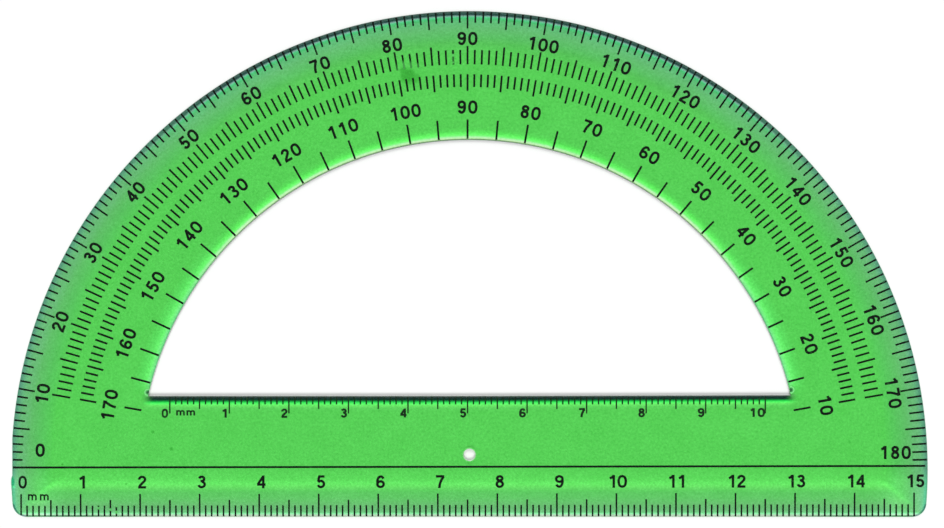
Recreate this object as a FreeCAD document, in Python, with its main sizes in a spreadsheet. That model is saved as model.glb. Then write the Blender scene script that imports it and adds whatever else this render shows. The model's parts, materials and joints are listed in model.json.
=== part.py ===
import FreeCAD, Part
import math
import os
import re
from FreeCAD import Vector
from Sketcher import Constraint

# A semicircular protractor: one moulded, see-through plate with scales printed on its top face.
#
# Frame: the origin is the centre of the measuring arc, on the flat underside. +X runs along the
# straight edge towards 15 cm, +Y points at the 90 degree mark and +Z comes out of the printed face.
#
# The plate is bevelled along the arc and along the straight edge, so that the scales end close to
# the paper. Every printed scale is a thin film of ink on the top face. The print was laid down a
# little off the moulding, so the scales share a centre of their own, print_shift away.

# Driving sizes, in millimetres and degrees.
SIZES = {
    # The moulded plate.
    "plate_radius": 77.0,
    "plate_thick": 1.8,
    "edge_thick": 1.3,
    "base_drop": 8.0,
    "corner_radius": 2.4,
    "arc_bevel": 5.7,
    "base_bevel": 4.6,
    # The D-shaped window: the band left round it, its sill, and the draft that opens it towards
    # the top.
    "band_width": 21.65,
    "window_sill": 12.3,
    "window_draft": 3.0,
    # The pin hole near the arc's centre, countersunk from the top.
    "hole_radius": 1.0,
    "hole_rise": 2.45,
    "sink_radius": 1.3,
    "sink_angle": 90.0,
    # Where the moulding was cut off its sprue: a trimmed flat, and the stub of the gate below it.
    "trim_depth": 0.18,
    "trim_drop": 1.2,
    "trim_rise": 12.0,
    "gate_drop": 2.6,
    "gate_width": 2.8,
    "gate_proud": 0.06,
    "gate_thick": 1.0,
    # The print: its film, the bare border at every edge and how far it sits off the moulding. The
    # base line and the base ruler are also turned a little against the straight edge.
    "ink_film": 0.03,
    "ink_margin": 0.1,
    "print_shift_x": -0.32,
    "print_shift_y": 0.28,
    "base_print_turn": 0.1,
    # The line from 0 to 180 degrees, and how far short of the arc's diameter it stops at each end.
    "base_line_gap": 0.1,
    "base_line_width": 0.35,
    "base_line_rise": 0.17,
    # Degree scales: a mark at each degree and a long one at each fifth. The two rings face each
    # other across ring_gap, and the outer one stays clear of the bevel.
    "degree_step": 1.0,
    "long_step": 5.0,
    "ring_start": 10.0,
    "ring_clear": 0.45,
    "ring_gap": 1.65,
    "edge_mark": 2.25,
    "edge_long_mark": 3.2,
    "edge_mark_width": 0.31,
    "outer_ring_mark": 2.45,
    "outer_ring_long_mark": 3.1,
    "outer_ring_width": 0.33,
    "inner_ring_mark": 2.15,
    "inner_ring_long_mark": 2.8,
    "inner_ring_width": 0.34,
    "window_mark": 3.15,
    "window_mark_width": 0.34,
    "window_low_gap": 0.25,
    # Rulers, with a mark at each millimetre and longer ones at each fifth and tenth.
    "ruler_step": 1.0,
    "base_ruler_length": 150.0,
    "base_ruler_mark": 2.03,
    "base_ruler_five": 2.96,
    "base_ruler_ten": 3.97,
    "base_ruler_width": 0.29,
    "window_ruler_length": 100.0,
    "window_ruler_mark": 1.38,
    "window_ruler_five": 2.15,
    "window_ruler_ten": 2.9,
    "window_ruler_width": 0.24,
    # How far a cutting sketch or an uncut column reaches past the surface that ends it.
    "overrun": 1.0,
}

# Formulas that several sketches share. A fall is a bevel's drop for each millimetre of its width.
ARC_FALL = "(plate_thick - edge_thick) / arc_bevel"
BASE_FALL = "(plate_thick - edge_thick) / base_bevel"
BEVEL_START = "(plate_radius - arc_bevel)"
WINDOW_RADIUS = "(plate_radius - band_width)"
DRAFT = "tan(window_draft)"
OUTER_RING = f"({BEVEL_START} - ring_clear - outer_ring_long_mark)"
INNER_RING = f"({OUTER_RING} - ring_gap)"

SHEET = "Sizes"
START, END, CENTRE = 1, 2, 3
ORIGIN = (-1, 1)

document = FreeCAD.newDocument("protractor")


# ---------------------------------------------------------------- sheet and sketch helpers

def fill_sheet():
    """Put each driving size into a cell of the spreadsheet, under its own alias."""
    sheet = document.addObject("Spreadsheet::Sheet", SHEET)
    for row, (name, size) in enumerate(SIZES.items(), start=1):
        sheet.set(f"A{row}", name)
        sheet.set(f"B{row}", str(size))
        sheet.setAlias(f"B{row}", name)
    document.recompute()
    return sheet


def cells(formula):
    """Point every size named in a formula at its cell of the sheet."""
    names = "|".join(SIZES)
    return re.sub(rf"\b({names})\b", rf"{SHEET}.\1", formula)


def value(formula):
    """Work a formula out with the sheet's present numbers."""
    return float(sheet.evalExpression(cells(formula)))


def bind(feature, **formulas):
    """Tie properties of a feature to the sheet."""
    for name, formula in formulas.items():
        feature.setExpression(name, cells(formula))


def place(item, position, axis, angle):
    """Tie an object's placement to formulas for its position, its axis of turning and its turn."""
    base = "vector({}; {}; {})".format(*position)
    turn = "rotation(vector({}; {}; {}); {})".format(*axis, angle)
    item.setExpression("Placement", cells(f"placement({base}; {turn})"))


def new_body(name):
    body = document.addObject("PartDesign::Body", name)
    body.Label = name
    return body


def new_sketch(body, name, plane="XY_Plane"):
    sketch = body.newObject("Sketcher::SketchObject", name)
    support = next(item for item in body.Origin.OriginFeatures if item.Role == plane)
    sketch.AttachmentSupport = [(support, "")]
    sketch.MapMode = "FlatFace"
    return sketch


def move_sketch(sketch, **offsets):
    """Move a sketch along its plane's x, y or z by formulas."""
    for axis, formula in offsets.items():
        sketch.setExpression(f"AttachmentOffset.Base.{axis}", cells(formula))


def turn_sketch(sketch, axis, formula):
    """Turn a sketch about one of its plane's own axes."""
    sketch.AttachmentOffset = FreeCAD.Placement(Vector(), FreeCAD.Rotation(axis, value(formula)))
    sketch.setExpression("AttachmentOffset.Rotation.Angle", cells(formula))


def dimension(sketch, kind, *where, formula):
    """Add a dimension to a sketch and tie it to the sheet."""
    index = sketch.addConstraint(Constraint(kind, *where, value(formula)))
    sketch.setExpression(f"Constraints[{index}]", cells(formula))


def place_point(sketch, geometry, end, x, y):
    """Fix a point of a sketch by formulas for its two coordinates."""
    dimension(sketch, "DistanceX", *ORIGIN, geometry, end, formula=x)
    dimension(sketch, "DistanceY", *ORIGIN, geometry, end, formula=y)


def line(sketch, start, end):
    return sketch.addGeometry(Part.LineSegment(Vector(*start, 0), Vector(*end, 0)))


def arc(sketch, centre, radius, start, end):
    """An arc from one angle to another, in radians; the caller constrains it."""
    whole = Part.Circle(Vector(*centre, 0), Vector(0, 0, 1), radius)
    return sketch.addGeometry(Part.ArcOfCircle(whole, start, end))


def polygon(sketch, corners):
    """A closed outline of straight lines through corners given as pairs of formulas."""
    points = [(value(x), value(y)) for x, y in corners]
    count = len(points)
    for index in range(count):
        line(sketch, points[index], points[(index + 1) % count])
    for index in range(count):
        sketch.addConstraint(Constraint("Coincident", index, END, (index + 1) % count, START))
    for index, (x, y) in enumerate(corners):
        place_point(sketch, index, START, x, y)


def circle(sketch, x, y, radius):
    """A circle fixed by formulas for its centre and radius."""
    centre = Vector(value(x), value(y), 0)
    index = sketch.addGeometry(Part.Circle(centre, Vector(0, 0, 1), value(radius)))
    place_point(sketch, index, CENTRE, x, y)
    dimension(sketch, "Radius", index, formula=radius)


def pad(body, name, sketch, height):
    feature = body.newObject("PartDesign::Pad", name)
    feature.Profile = sketch
    bind(feature, Length=height)
    return feature


def pocket_up(body, name, sketch, depth):
    """Cut upwards from a sketch on the underside."""
    feature = body.newObject("PartDesign::Pocket", name)
    feature.Profile = sketch
    feature.Reversed = True
    bind(feature, Length=depth)
    return feature


def pocket_across(body, name, sketch):
    """Cut both ways along X, right through the plate, from a sketch on the YZ plane."""
    feature = body.newObject("PartDesign::Pocket", name)
    feature.Profile = sketch
    feature.SideType = "Symmetric"
    bind(feature, Length="2 * (plate_radius + overrun)")
    return feature


# ---------------------------------------------------------------- the plate's form

def plate_outline(sketch, inset):
    """Half disc with the straight edge below its centre and two rounded corners."""
    radius = f"plate_radius - {inset}"
    corner = f"corner_radius - {inset}"
    edge_y = f"{inset} - base_drop"
    corner_y = value("corner_radius - base_drop")
    corner_x = math.sqrt((value(radius) - value(corner)) ** 2 - corner_y ** 2)
    tilt = math.atan2(corner_y, corner_x)

    rim = arc(sketch, (0, 0), value(radius), tilt, math.pi - tilt)
    left = arc(sketch, (-corner_x, corner_y), value(corner), math.pi - tilt, 1.5 * math.pi)
    edge = line(sketch, (-corner_x, value(edge_y)), (corner_x, value(edge_y)))
    right = arc(sketch, (corner_x, corner_y), value(corner), -0.5 * math.pi, tilt)

    sketch.addConstraint(Constraint("Coincident", rim, CENTRE, *ORIGIN))
    sketch.addConstraint(Constraint("Tangent", rim, END, left, START))
    sketch.addConstraint(Constraint("Tangent", left, END, edge, START))
    sketch.addConstraint(Constraint("Tangent", edge, END, right, START))
    sketch.addConstraint(Constraint("Tangent", right, END, rim, START))
    sketch.addConstraint(Constraint("Horizontal", edge))
    sketch.addConstraint(Constraint("Equal", left, right))
    dimension(sketch, "Radius", rim, formula=radius)
    dimension(sketch, "Radius", right, formula=corner)
    dimension(sketch, "DistanceY", *ORIGIN, edge, START, formula=edge_y)


def blank(body, top, inset):
    """The flat plate before its bevels and its window."""
    outline = new_sketch(body, body.Label + "_outline")
    plate_outline(outline, inset)
    pad(body, body.Label + "_blank", outline, top)


def slice_trim(body, top, inset):
    """Slice a flat on the left of the rim, where the plate was trimmed off its sprue."""
    flat_x = f"trim_depth + {inset} - plate_radius"
    low_y = f"-trim_drop - {inset}"
    slice_outline = new_sketch(body, body.Label + "_trim_outline")
    polygon(slice_outline, [
        (flat_x, low_y),
        (flat_x, "trim_rise"),
        ("-plate_radius - overrun", "trim_rise"),
        ("-plate_radius - overrun", low_y),
    ])
    pocket_up(body, body.Label + "_trim", slice_outline, top)


def cut_arc_bevel(body, top):
    """Turn a wedge about the arc's centre, to slope the top down to the rim."""
    profile = new_sketch(body, body.Label + "_arc_bevel_profile", "XZ_Plane")
    polygon(profile, [
        (BEVEL_START, top),
        ("plate_radius + overrun", f"{top} - {ARC_FALL} * (arc_bevel + overrun)"),
        ("plate_radius + overrun", f"{top} + overrun"),
        (BEVEL_START, f"{top} + overrun"),
    ])
    bevel = body.newObject("PartDesign::Groove", body.Label + "_arc_bevel")
    bevel.Profile = profile
    bevel.ReferenceAxis = (profile, ["V_Axis"])
    bevel.Angle = 360


def cut_base_bevel(body, top):
    """Cut a straight wedge along the base edge; it meets the arc's bevel in a mitre."""
    profile = new_sketch(body, body.Label + "_base_bevel_profile", "YZ_Plane")
    polygon(profile, [
        ("base_bevel - base_drop", top),
        ("base_bevel - base_drop", f"{top} + overrun"),
        ("-base_drop - overrun", f"{top} + overrun"),
        ("-base_drop - overrun", f"{top} - {BASE_FALL} * (base_bevel + overrun)"),
    ])
    pocket_across(body, body.Label + "_base_bevel", profile)


def window_core(name, top, inset):
    """The mould's core for the window: a drafted disc, cut off along the drafted sill."""
    core = new_body(name)
    above = f"({top} + overrun)"
    side = new_sketch(core, name + "_profile", "XZ_Plane")
    polygon(side, [
        ("0", "-overrun"),
        (f"{WINDOW_RADIUS} + {inset} - overrun * {DRAFT}", "-overrun"),
        (f"{WINDOW_RADIUS} + {inset} + {above} * {DRAFT}", above),
        ("0", above),
    ])
    disc = core.newObject("PartDesign::Revolution", name + "_disc")
    disc.Profile = side
    disc.ReferenceAxis = (side, ["V_Axis"])
    disc.Angle = 360

    waste = new_sketch(core, name + "_sill_profile", "YZ_Plane")
    polygon(waste, [
        (f"window_sill - {inset} + 2 * overrun * {DRAFT}", "-2 * overrun"),
        (f"window_sill - {inset} - ({above} + overrun) * {DRAFT}", f"{above} + overrun"),
        ("-plate_radius", f"{above} + overrun"),
        ("-plate_radius", "-2 * overrun"),
    ])
    pocket_across(core, name + "_sill", waste)
    return core


def cut_window(body, top, inset):
    """Cut the window with its core."""
    core = window_core(body.Label + "_core", top, inset)
    window = body.newObject("PartDesign::Boolean", body.Label + "_window")
    window.setObjects([core])
    window.Type = "Cut"


def plate_form(name, lift="0", inset="0"):
    """The plate's outer form. lift raises its top and inset draws in every edge, for the ink."""
    body = new_body(name)
    top = f"(plate_thick + {lift})"
    blank(body, top, inset)
    slice_trim(body, top, inset)
    cut_arc_bevel(body, top)
    cut_base_bevel(body, top)
    cut_window(body, top, inset)
    return body


# ---------------------------------------------------------------- the plate

def add_gate_stub(body):
    """The low rounded stub that the gate leaves on the rim, thinner than the rim itself."""
    face_x = "trim_depth - plate_radius"
    root_x = "trim_depth + overrun - plate_radius"
    low_y = "-gate_drop - 0.5 * gate_width"
    high_y = "0.5 * gate_width - gate_drop"
    sagitta = "(trim_depth + gate_proud)"
    bulge = f"(0.25 * gate_width * gate_width + {sagitta} * {sagitta}) / (2 * {sagitta})"
    spread = math.asin(0.5 * value("gate_width") / value(bulge))
    centre = (value(f"{bulge} - gate_proud - plate_radius"), -value("gate_drop"))

    sketch = new_sketch(body, "gate_outline")
    nose = arc(sketch, centre, value(bulge), math.pi - spread, math.pi + spread)
    below = line(sketch, (value(face_x), value(low_y)), (value(root_x), value(low_y)))
    root = line(sketch, (value(root_x), value(low_y)), (value(root_x), value(high_y)))
    above = line(sketch, (value(root_x), value(high_y)), (value(face_x), value(high_y)))
    for first, second in ((nose, below), (below, root), (root, above), (above, nose)):
        sketch.addConstraint(Constraint("Coincident", first, END, second, START))
    place_point(sketch, nose, START, face_x, high_y)
    place_point(sketch, below, START, face_x, low_y)
    place_point(sketch, root, START, root_x, low_y)
    place_point(sketch, root, END, root_x, high_y)
    dimension(sketch, "Radius", nose, formula=bulge)
    pad(body, "gate_stub", sketch, "gate_thick")


def drill_pin_hole(body):
    """The hole that takes a pin near the arc's centre, countersunk from the top."""
    sketch = new_sketch(body, "pin_hole_centre")
    move_sketch(sketch, z="plate_thick")
    circle(sketch, "0", "hole_rise", "hole_radius")
    document.recompute()
    hole = body.newObject("PartDesign::Hole", "pin_hole")
    hole.Profile = sketch
    hole.DepthType = "ThroughAll"
    hole.HoleCutType = "Countersink"
    hole.HoleCutCustomValues = True
    bind(
        hole, Diameter="2 * hole_radius",
        HoleCutDiameter="2 * sink_radius", HoleCutCountersinkAngle="sink_angle")


def protractor_plate():
    body = plate_form("protractor_plate")
    add_gate_stub(body)
    drill_pin_hole(body)
    return body


# ---------------------------------------------------------------- repeated marks

def repeat(body, mark, kind, axis, *steps):
    """Copy a mark about or along an axis. Each step is a spacing and a count; a second step
    copies the whole group that the first one made."""
    patterns = []
    for number, (spacing, count) in enumerate(steps):
        pattern = document.addObject(f"PartDesign::{kind}", f"{mark.Name}_step_{number}")
        setattr(pattern, "Axis" if kind == "PolarPattern" else "Direction", axis)
        pattern.Mode = "Spacing"
        bind(pattern, Offset=spacing, Occurrences=count)
        patterns.append(pattern)
    marks = body.newObject("PartDesign::MultiTransform", mark.Name + "_copies")
    marks.Originals = [mark]
    marks.Transformations = patterns
    body.Tip = marks


def long_steps(first):
    """One mark at each fifth degree, from first to 180 - first."""
    return [("long_step", f"(180 - 2 * {first}) / long_step + 1")]


def short_steps(first):
    """The degrees that lie between the fifths, from first to 180 - first."""
    return [
        ("degree_step", "long_step / degree_step - 1"),
        ("long_step", f"(180 - 2 * {first}) / long_step"),
    ]


def stroke(near, far, width):
    """The four corners of a mark that runs from near to far, centred across its width."""
    half = f"0.5 * {width}"
    return [(near, f"-{half}"), (far, f"-{half}"), (far, half), (near, half)]


def fan(body, name, corners, start, height, base, *steps):
    """A mark padded from a height above the underside, and copied about the print's centre."""
    sketch = new_sketch(body, name + "_outline")
    turn_sketch(sketch, Vector(0, 0, 1), start)
    move_sketch(sketch, x="print_shift_x", y="print_shift_y", z=base)
    polygon(sketch, corners)
    mark = pad(body, name, sketch, height)
    repeat(body, mark, "PolarPattern", (sketch, ["N_Axis"]), *steps)


def flat_fan(body, name, near, far, width, start, *steps):
    """Marks that lie wholly on the flat of the plate: pads as thick as the film."""
    fan(body, name, stroke(near, far, width), start, "ink_film", "plate_thick", *steps)


# ---------------------------------------------------------------- the printed scales

def printed(name, columns, film):
    """Keep of tall columns only what lies in the film of ink on the plate's top face."""
    scale = document.addObject("Part::Common", name)
    scale.Label = name
    scale.Base = columns
    scale.Tool = film
    return scale


def ink_blanket(plate):
    """The layer of ink that would cover the plate: the same form raised by the film, less the plate."""
    ceiling = plate_form("ink_ceiling", lift="ink_film", inset="ink_margin")
    blanket = document.addObject("Part::Cut", "ink_blanket")
    blanket.Base = ceiling
    blanket.Tool = plate
    return blanket


def base_line(blanket):
    body = new_body("base_line_column")
    sketch = new_sketch(body, "base_line_outline")
    turn_sketch(sketch, Vector(0, 0, 1), "base_print_turn")
    move_sketch(sketch, x="print_shift_x", y="print_shift_y + base_line_rise")
    reach = "(plate_radius - base_line_gap)"
    polygon(sketch, stroke(f"-{reach}", reach, "base_line_width"))
    pad(body, "base_line_pad", sketch, "plate_thick + overrun")
    return printed("base_line", body, blanket)


def ring(name, near, mark_far, long_near, long_far, width):
    """A ring of marks at each degree, longer at each fifth, on the flat of the plate."""
    body = new_body(name)
    flat_fan(body, name + "_fifth", long_near, long_far, width, "ring_start", *long_steps("ring_start"))
    flat_fan(
        body, name + "_degree", near, mark_far, width,
        "ring_start + degree_step", *short_steps("ring_start"))
    return body


def outer_degree_ring():
    """Marks that grow outwards from one circle."""
    mark_end = f"{OUTER_RING} + outer_ring_mark"
    long_end = f"{OUTER_RING} + outer_ring_long_mark"
    return ring("outer_degree_ring", OUTER_RING, mark_end, OUTER_RING, long_end, "outer_ring_width")


def inner_degree_ring():
    """Marks that grow inwards from one circle."""
    mark_end = f"{INNER_RING} - inner_ring_mark"
    long_end = f"{INNER_RING} - inner_ring_long_mark"
    return ring("inner_degree_ring", mark_end, INNER_RING, long_end, INNER_RING, "inner_ring_width")


def window_degree_marks(blanket):
    """A mark at every fifth degree from the window's arc outwards. The lowest pair lie past the
    window's corners, so they stand free and have an inner end of their own."""
    body = new_body("window_degree_columns")
    height = "plate_thick + overrun"
    far = f"{WINDOW_RADIUS} + window_mark"
    cut_by_window = stroke(f"{WINDOW_RADIUS} - overrun", far, "window_mark_width")
    free = stroke(f"{WINDOW_RADIUS} + window_low_gap", far, "window_mark_width")
    second = "(ring_start + long_step)"
    fan(body, "window_fifth", cut_by_window, second, height, "0", *long_steps(second))
    fan(body, "window_lowest", free, "ring_start", height, "0", ("180 - 2 * ring_start", "2"))
    return printed("window_degree_marks", body, blanket)


def bevel_fan(body, name, length, start, *steps):
    """Marks drawn side-on in a radial plane, where the film follows the bevel's slope."""
    near = f"(plate_radius - {length})"
    far = "(plate_radius + overrun)"
    near_z = f"plate_thick - {ARC_FALL} * ({near} - {BEVEL_START})"
    far_z = f"plate_thick - {ARC_FALL} * ({far} - {BEVEL_START})"
    sketch = new_sketch(body, name + "_profile", "XZ_Plane")
    turn_sketch(sketch, Vector(0, 1, 0), start)
    polygon(sketch, [
        (near, near_z),
        (far, far_z),
        (far, f"{far_z} + ink_film"),
        (near, f"{near_z} + ink_film"),
    ])
    mark = pad(body, name, sketch, "edge_mark_width")
    mark.SideType = "Symmetric"
    repeat(body, mark, "PolarPattern", (sketch, ["V_Axis"]), *steps)


def ink_border():
    """A prism with a flat at each degree, so that every mark ends square, ink_margin short of the
    rim. It is sliced at the left as the plate is."""
    prism = document.addObject("Part::Prism", "ink_border_prism")
    bind(
        prism, Polygon="360 / degree_step", Height="plate_thick + overrun",
        Circumradius="(plate_radius - ink_margin) / cos(0.5 * degree_step)")
    place(prism, ("0", "0", "0"), ("0", "0", "1"), "0.5 * degree_step")

    waste = document.addObject("Part::Box", "ink_border_waste")
    bind(
        waste, Length="trim_depth + ink_margin + overrun",
        Width="trim_rise + trim_drop + ink_margin", Height="plate_thick + overrun")
    corner = ("-plate_radius - overrun", "-trim_drop - ink_margin", "0")
    place(waste, corner, ("0", "0", "1"), "0")

    border = document.addObject("Part::Cut", "ink_border")
    border.Base = prism
    border.Tool = waste
    return border


def edge_degree_marks():
    """Marks on the arc's bevel, cut off just short of the rim.

    The bevel is a cone about the plate's centre and the marks turn about the print's. Seen from
    that nearby axis the cone is, to within a micron, the same cone leaning by its fall times the
    shift over the radius. So the whole fan leans by that much, and every mark lies on the bevel.
    """
    body = new_body("edge_degree_fan")
    bevel_fan(body, "edge_fifth", "edge_long_mark", "long_step", *long_steps("long_step"))
    bevel_fan(body, "edge_degree", "edge_mark", "degree_step", *short_steps("0"))
    shift = "sqrt(print_shift_x * print_shift_x + print_shift_y * print_shift_y)"
    lean = f"180 / pi * {ARC_FALL} * {shift} / (plate_radius - 0.5 * edge_mark)"
    centre = ("print_shift_x", "print_shift_y", "0")
    place(body, centre, ("-print_shift_y", "print_shift_x", "0"), lean)
    return printed("edge_degree_marks", body, ink_border())


def ruler_row(body, name, corners, first, turn, height, *steps):
    """Copy a mark side by side along a ruler, from its first place, given by three formulas."""
    sketch = new_sketch(body, name + "_outline")
    turn_sketch(sketch, Vector(0, 0, 1), turn)
    x, y, z = first
    move_sketch(sketch, x=x, y=y, z=z)
    polygon(sketch, [(across, along) for along, across in corners])
    mark = pad(body, name, sketch, height)
    repeat(body, mark, "LinearPattern", (sketch, ["H_Axis"]), *steps)


def ruler(body, prefix, near, sense, edge, base, height, turn="0"):
    """Marks measured from an edge: tenths, the fifths halfway between them, and the rest. A turned
    ruler turns about its middle, so its first mark drops by the turn's tangent."""
    tens = f"{prefix}_length / (10 * ruler_step)"
    rows = (
        ("ten", "0", [("10 * ruler_step", f"{tens} + 1")]),
        ("five", "5 * ruler_step", [("10 * ruler_step", tens)]),
        ("mark", "ruler_step", [("ruler_step", "4"), ("5 * ruler_step", f"2 * {tens}")]),
    )
    for row, start, steps in rows:
        corners = stroke(near, f"{edge} + {sense} * {prefix}_{row}", prefix + "_width")
        along = f"({start} - 0.5 * {prefix}_length)"
        first = (f"print_shift_x + {along}", f"tan({turn}) * {along}", base)
        ruler_row(body, f"{prefix}_{row}_row", corners, first, turn, height, *steps)


def base_ruler_marks(blanket):
    """The 15 cm ruler on the base bevel and, at its ends, on the corner of the arc's bevel."""
    body = new_body("base_ruler_columns")
    ruler(
        body, "base_ruler", "-base_drop - overrun", "1", "-base_drop", "0",
        "plate_thick + overrun", turn="base_print_turn")
    return printed("base_ruler_marks", body, blanket)


def window_ruler_marks():
    """The 10 cm ruler under the sill, wholly on the flat."""
    body = new_body("window_ruler_marks")
    lip = f"(window_sill - plate_thick * {DRAFT} - ink_margin)"
    ruler(body, "window_ruler", lip, "-1", "window_sill", "plate_thick", "ink_film")
    return body


# ---------------------------------------------------------------- check and write

def check(pieces):
    """Stop if any object failed, or a piece is empty, invalid or reaches past the plate."""
    for item in document.Objects:
        if "Invalid" in item.State or "Error" in item.State:
            raise RuntimeError(f"{item.Name} failed: {item.State}")
    room = pieces[0].Shape.BoundBox
    room.enlarge(value("2 * ink_film"))
    for piece in pieces:
        shape = piece.Shape
        if shape.isNull() or not shape.isValid() or not shape.Solids:
            raise RuntimeError(f"{piece.Label} has no valid solid")
        if not room.isInside(shape.BoundBox):
            raise RuntimeError(f"{piece.Label} reaches past the plate")


def write(pieces):
    os.makedirs("parts", exist_ok=True)
    for piece in pieces:
        piece.Shape.exportStep(os.path.join("parts", piece.Label + ".step"))
        print(f"{piece.Label}: {len(piece.Shape.Solids)} solids, {piece.Shape.Volume:.3f} mm3")


sheet = fill_sheet()
plate = protractor_plate()
blanket = ink_blanket(plate)
pieces = [
    plate,
    base_line(blanket),
    edge_degree_marks(),
    outer_degree_ring(),
    inner_degree_ring(),
    window_degree_marks(blanket),
    base_ruler_marks(blanket),
    window_ruler_marks(),
]
document.recompute()
check(pieces)
write(pieces)
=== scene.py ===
# %% [markdown]
# # A see-through green protractor
#
# A protractor is one thin moulding of clear tinted plastic with black scales printed on it. Almost
# all of its looks come from light: light goes in through the top, is tinted on its way down, meets
# the white table, and comes back up through the plastic. So this lesson models the real thing, a
# closed slab of plastic with softened edges and a film of ink on it, and lets the light do most of
# the rest. The glows and dark bands near the edges are painted light and shade in the plastic's colour.
#
# The CAD model is loaded first. Its printed marks stay as they are and get an ink material. Its
# plate has crisp edges, so a finer surface with moulded, softened edges stands for it.

# %% Load the frame
import json
import math
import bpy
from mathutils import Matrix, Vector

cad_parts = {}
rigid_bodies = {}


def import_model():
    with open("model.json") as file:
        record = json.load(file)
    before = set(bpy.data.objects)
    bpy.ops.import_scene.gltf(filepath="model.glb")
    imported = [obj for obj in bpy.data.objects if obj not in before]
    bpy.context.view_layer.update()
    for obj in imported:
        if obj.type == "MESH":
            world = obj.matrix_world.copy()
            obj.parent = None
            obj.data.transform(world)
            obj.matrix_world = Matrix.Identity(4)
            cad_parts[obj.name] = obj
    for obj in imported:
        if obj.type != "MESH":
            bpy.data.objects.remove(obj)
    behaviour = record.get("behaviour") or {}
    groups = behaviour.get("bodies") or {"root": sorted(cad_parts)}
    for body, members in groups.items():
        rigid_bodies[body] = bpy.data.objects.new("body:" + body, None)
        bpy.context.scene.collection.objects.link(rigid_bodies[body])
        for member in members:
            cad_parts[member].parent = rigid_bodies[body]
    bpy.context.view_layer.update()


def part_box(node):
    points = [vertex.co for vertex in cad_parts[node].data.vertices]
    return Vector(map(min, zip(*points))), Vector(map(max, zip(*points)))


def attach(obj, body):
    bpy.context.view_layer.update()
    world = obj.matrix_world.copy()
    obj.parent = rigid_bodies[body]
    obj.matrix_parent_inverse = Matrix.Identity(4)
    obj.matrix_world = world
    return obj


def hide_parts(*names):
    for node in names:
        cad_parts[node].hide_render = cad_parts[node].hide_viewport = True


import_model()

from types import SimpleNamespace

import bpy
import numpy as np
from mathutils import Vector
from mathutils.geometry import delaunay_2d_cdt

MM = 0.001
plate_low, plate_high = (np.array(corner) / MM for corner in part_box("protractor_plate"))
print("plate, mm:", plate_low.round(3), plate_high.round(3))

# %% [markdown]
# ## The sizes that the plate is drawn from
#
# Everything is worked out in millimetres and made metres only when it goes into a mesh. The frame
# gives the overall sizes. The rest are the moulding's own: two bevels, the window, the pin hole, and
# the small radius that a mould leaves on every edge. The surface stays a hair inside the solid one,
# so that it never sticks out of the ink that lies on it.

# %% Sizes of the moulding
INSIDE = 0.003                    # how far the surface stays inside the solid plate
RIM = plate_high[0] - INSIDE      # radius of the arc
BASE = plate_low[1]               # the straight edge
THICK = plate_high[2]
EDGE_THICK = 1.3                  # what the bevels leave of the thickness
CORNER = 2.4                      # radius of the two lower corners
ARC_BEVEL, BASE_BEVEL = 5.7, 4.6  # widths of the bevels
WINDOW = 55.27                    # radius of the window, at its foot
SILL = 12.37                      # height of the window's lower edge
SILL_RISE = 0.0025                # how much the right half of the sill climbs for each millimetre
DRAFT = math.tan(math.radians(3)) # how much a window wall leans back for each millimetre up
SOFT, CRISP = 0.12, 0.04          # radii of the outer edges, and of the window's and the hole's
print("rim radius", RIM, "thickness", THICK)

# %% Sizes of the pin hole and the gate
HOLE, HOLE_RISE = 1.0, 2.45       # radius of the pin hole, and its height above the arc's centre
SINK_DEPTH = 0.3                  # depth of the countersink, which slopes at 45 degrees
TRIM_X = -RIM + 0.18              # a flat was trimmed on the rim where the gate was cut off
TRIM_LOW, TRIM_HIGH = -1.2, 5.3
GATE_Y, GATE_HALF = -2.55, 1.4    # middle and half width of the gate's stub
GATE_REACH, GATE_TOP = 0.09, 1.0  # how far it stands out, and how far up the wall it reaches
print("the gate's stub runs from", GATE_Y - GATE_HALF, "to", GATE_Y + GATE_HALF)

# %% [markdown]
# ## The height of the top face
#
# The top is flat in the middle. Towards the arc it slopes down as a cone, and towards the straight
# edge as a plane. The lowest of the three wins everywhere. A plain minimum would leave knife-sharp
# creases, which no mould has, so a smooth minimum rounds them off: within a small distance of a
# crease it dips a little under both surfaces. One function then gives the height anywhere, and its
# slope gives the normal.

# %% Height and slope of the top
ROLL = 0.055   # how near in height two surfaces have to be for their crease to be rounded


def smooth_minimum(a, b, reach=ROLL):
    """The smaller of a and b, less a parabola where they differ by under the reach."""
    near = np.maximum(reach - np.abs(a - b), 0.0)
    return np.minimum(a, b) - near * near / (4 * reach)


def top_height(x, y):
    """Flat, cone and plane: each bevel's drop grows evenly with the distance past its start."""
    arc_fall = (THICK - EDGE_THICK) / ARC_BEVEL
    base_fall = (THICK - EDGE_THICK) / BASE_BEVEL
    cone = THICK - arc_fall * (np.hypot(x, y) - (RIM - ARC_BEVEL))
    slope = THICK - base_fall * ((BASE + BASE_BEVEL) - y)
    flat = np.full_like(cone, THICK)
    return smooth_minimum(flat, smooth_minimum(cone, slope)) - INSIDE


def top_normal(x, y, step=0.01):
    """The slope by central differences, turned into a unit vector that points up."""
    dx = (top_height(x + step, y) - top_height(x - step, y)) / (2 * step)
    dy = (top_height(x, y + step) - top_height(x, y - step)) / (2 * step)
    normal = np.stack([-dx, -dy, np.ones_like(dx)], axis=-1)
    return normal / np.linalg.norm(normal, axis=-1, keepdims=True)


print("height at the centre and the rim:", top_height(np.array([0.0, RIM]), np.array([0.0, 0.0])))

# %% [markdown]
# ## From arrays to a mesh
#
# A surface here is a grid: rows run across the surface and columns run along it. A second helper
# fills a flat face that has holes in it. It asks for a Delaunay triangulation between the outlines
# and keeps the triangles that lie inside an odd number of them.

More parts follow.
